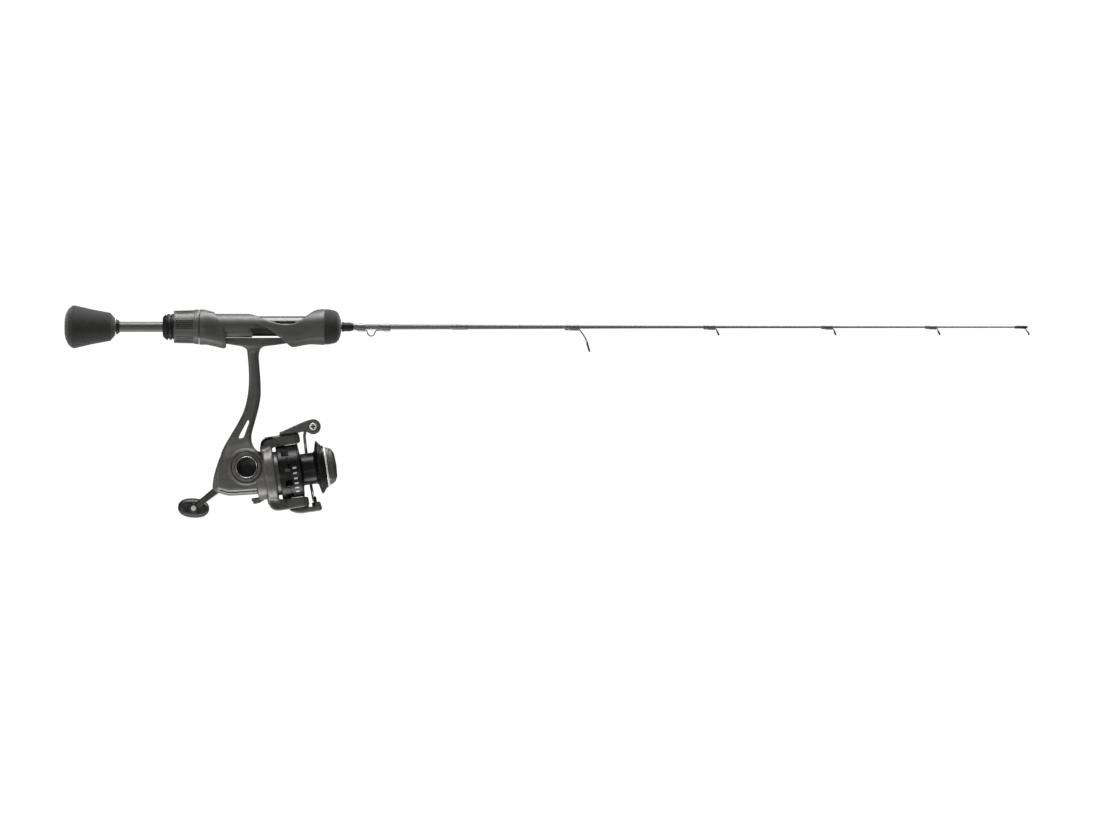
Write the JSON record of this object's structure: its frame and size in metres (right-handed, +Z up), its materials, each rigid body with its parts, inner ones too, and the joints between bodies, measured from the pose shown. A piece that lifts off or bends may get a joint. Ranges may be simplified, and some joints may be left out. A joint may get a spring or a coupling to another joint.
{
  "type": "ice fishing rod",
  "caption": "Short ice fishing rod with a foam butt, a skeleton reel seat and a small spinning reel whose crank turns a rotor with a flip-over bail.",
  "frame": {"origin": "on the rod's axis inside the grip, above the reel's stem, where the hand holds it", "axes": "+X along the rod towards its tip, +Z up, the reel hanging towards -Z, the crank on the +Y side"},
  "size_m": [0.6348, 0.0876, 0.1401],
  "materials": {
    "foam": "charcoal EVA foam, skived smooth",
    "soft_touch": "dark grey soft-touch plastic",
    "rubber": "black rubber",
    "blank": "grey clear-coated fibre",
    "thread_wrap": "grey thread under clear epoxy",
    "reel_paint": "dark grey satin paint",
    "spool_black": "gloss black",
    "arm_black": "black satin paint",
    "guide_wire": "darkened stainless wire",
    "guide_ceramic": "polished black ceramic ring",
    "steel": "polished stainless steel",
    "brass": "machined brass",
    "zinc": "die-cast zinc, as cast",
    "knob_rubber": "soft black rubber"
  },
  "bodies": {
    "rod": {"butt_grip": "foam", "butt_collar": "rubber", "butt_tube": "blank", "seat_body": "soft_touch", "seat_core": "blank", "fore_grip": "foam", "winding_check": "rubber", "blank": "blank", "keeper_wire": "guide_wire", "keeper_wrap_rear": "thread_wrap", "keeper_wrap_front": "thread_wrap", "trim_wrap": "thread_wrap", "guide_frame_1": "guide_wire", "guide_ring_1": "guide_ceramic", "guide_wrap_1": "thread_wrap", "guide_frame_2": "guide_wire", "guide_ring_2": "guide_ceramic", "guide_wrap_2": "thread_wrap", "guide_frame_3": "guide_wire", "guide_ring_3": "guide_ceramic", "guide_wrap_3": "thread_wrap", "guide_frame_4": "guide_wire", "guide_ring_4": "guide_ceramic", "guide_wrap_4": "thread_wrap", "tip_top_frame": "guide_wire", "tip_top_ring": "guide_ceramic", "reel_frame": "reel_paint", "side_cover": "reel_paint", "cover_screw_1": "steel", "cover_screw_2": "steel", "crank_bearing_near": "steel", "crank_bearing_far": "steel", "pinion_bearing": "steel", "roller_clutch": "zinc"},
    "hood": {"seat_hood": "soft_touch"},
    "nut": {"seat_nut": "soft_touch"},
    "crank": {"crank_shaft": "steel", "drive_gear": "zinc", "crank_arm": "arm_black", "screw_cap": "spool_black", "knob_pin": "steel"},
    "knob": {"crank_knob": "knob_rubber"},
    "rotor": {"rotor": "reel_paint", "rotor_nut": "brass", "pinion_gear": "brass", "bail_spring": "steel", "spring_cover": "reel_paint"},
    "oscillator": {"oscillation_gear": "zinc"},
    "bail": {"bail_arm": "reel_paint", "bail_holder": "reel_paint", "bail_wire": "spool_black", "roller_screw": "steel"},
    "roller": {"line_roller": "steel"},
    "shaft": {"main_shaft": "steel", "slider": "zinc"},
    "spool": {"spool": "spool_black", "spool_lip_ring": "steel", "drag_washers": "zinc"},
    "drag": {"drag_knob": "reel_paint"},
    "lever": {"anti_reverse_lever": "reel_paint"}
  },
  "joints": [
    {"name": "hood_slide", "type": "slide", "parent": "rod", "child": "hood", "axis": [1, 0, 0], "range_m": [-0.0104, 0]},
    {"name": "nut_turn", "type": "hinge", "parent": "hood", "child": "nut", "pos_m": [-0.044, 0, 0], "axis": [1, 0, 0], "range_deg": [-1440, 0]},
    {"name": "crank_turn", "type": "hinge", "parent": "rod", "child": "crank", "pos_m": [-0.0043, 0, -0.092], "axis": [0, 1, 0], "continuous": true},
    {"name": "knob_spin", "type": "hinge", "parent": "crank", "child": "knob", "pos_m": [-0.03922, 0, -0.11958], "axis": [0, 1, 0], "continuous": true},
    {"name": "rotor_spin", "type": "hinge", "parent": "rod", "child": "rotor", "pos_m": [0.01058, 0, -0.097], "axis": [0.9895, 0, 0.1444], "continuous": true},
    {"name": "oscillator_turn", "type": "hinge", "parent": "rod", "child": "oscillator", "pos_m": [-0.01389, 0, -0.09694], "axis": [0, 1, 0], "continuous": true},
    {"name": "bail_flip", "type": "hinge", "parent": "rotor", "child": "bail", "pos_m": [0.02977, 0, -0.0942], "axis": [0.1444, 0, -0.9895], "range_deg": [0, 100]},
    {"name": "roller_spin", "type": "hinge", "parent": "bail", "child": "roller", "pos_m": [0.03943, 0, -0.06551], "axis": [0, 1, 0], "continuous": true},
    {"name": "spool_stroke", "type": "slide", "parent": "rod", "child": "shaft", "axis": [0.9895, 0, 0.1444], "range_m": [-0.0014, 0.0065]},
    {"name": "spool_slip", "type": "hinge", "parent": "shaft", "child": "spool", "pos_m": [0.03631, 0, -0.09325], "axis": [0.9895, 0, 0.1444], "continuous": true},
    {"name": "drag_turn", "type": "hinge", "parent": "shaft", "child": "drag", "pos_m": [0.05016, 0, -0.09123], "axis": [0.9895, 0, 0.1444], "range_deg": [-540, 0]},
    {"name": "anti_reverse_flip", "type": "hinge", "parent": "rod", "child": "lever", "pos_m": [0.00573, 0, -0.11226], "axis": [0.9895, 0, 0.1444], "range_deg": [0, 25]}
  ],
  "couplings": [
    {"joint": "hood_slide", "follows": "nut_turn", "m_per_rad": 0.0004138},
    {"joint": "rotor_spin", "follows": "crank_turn", "ratio": -5},
    {"joint": "oscillator_turn", "follows": "crank_turn", "ratio": -0.63636}
  ]
}
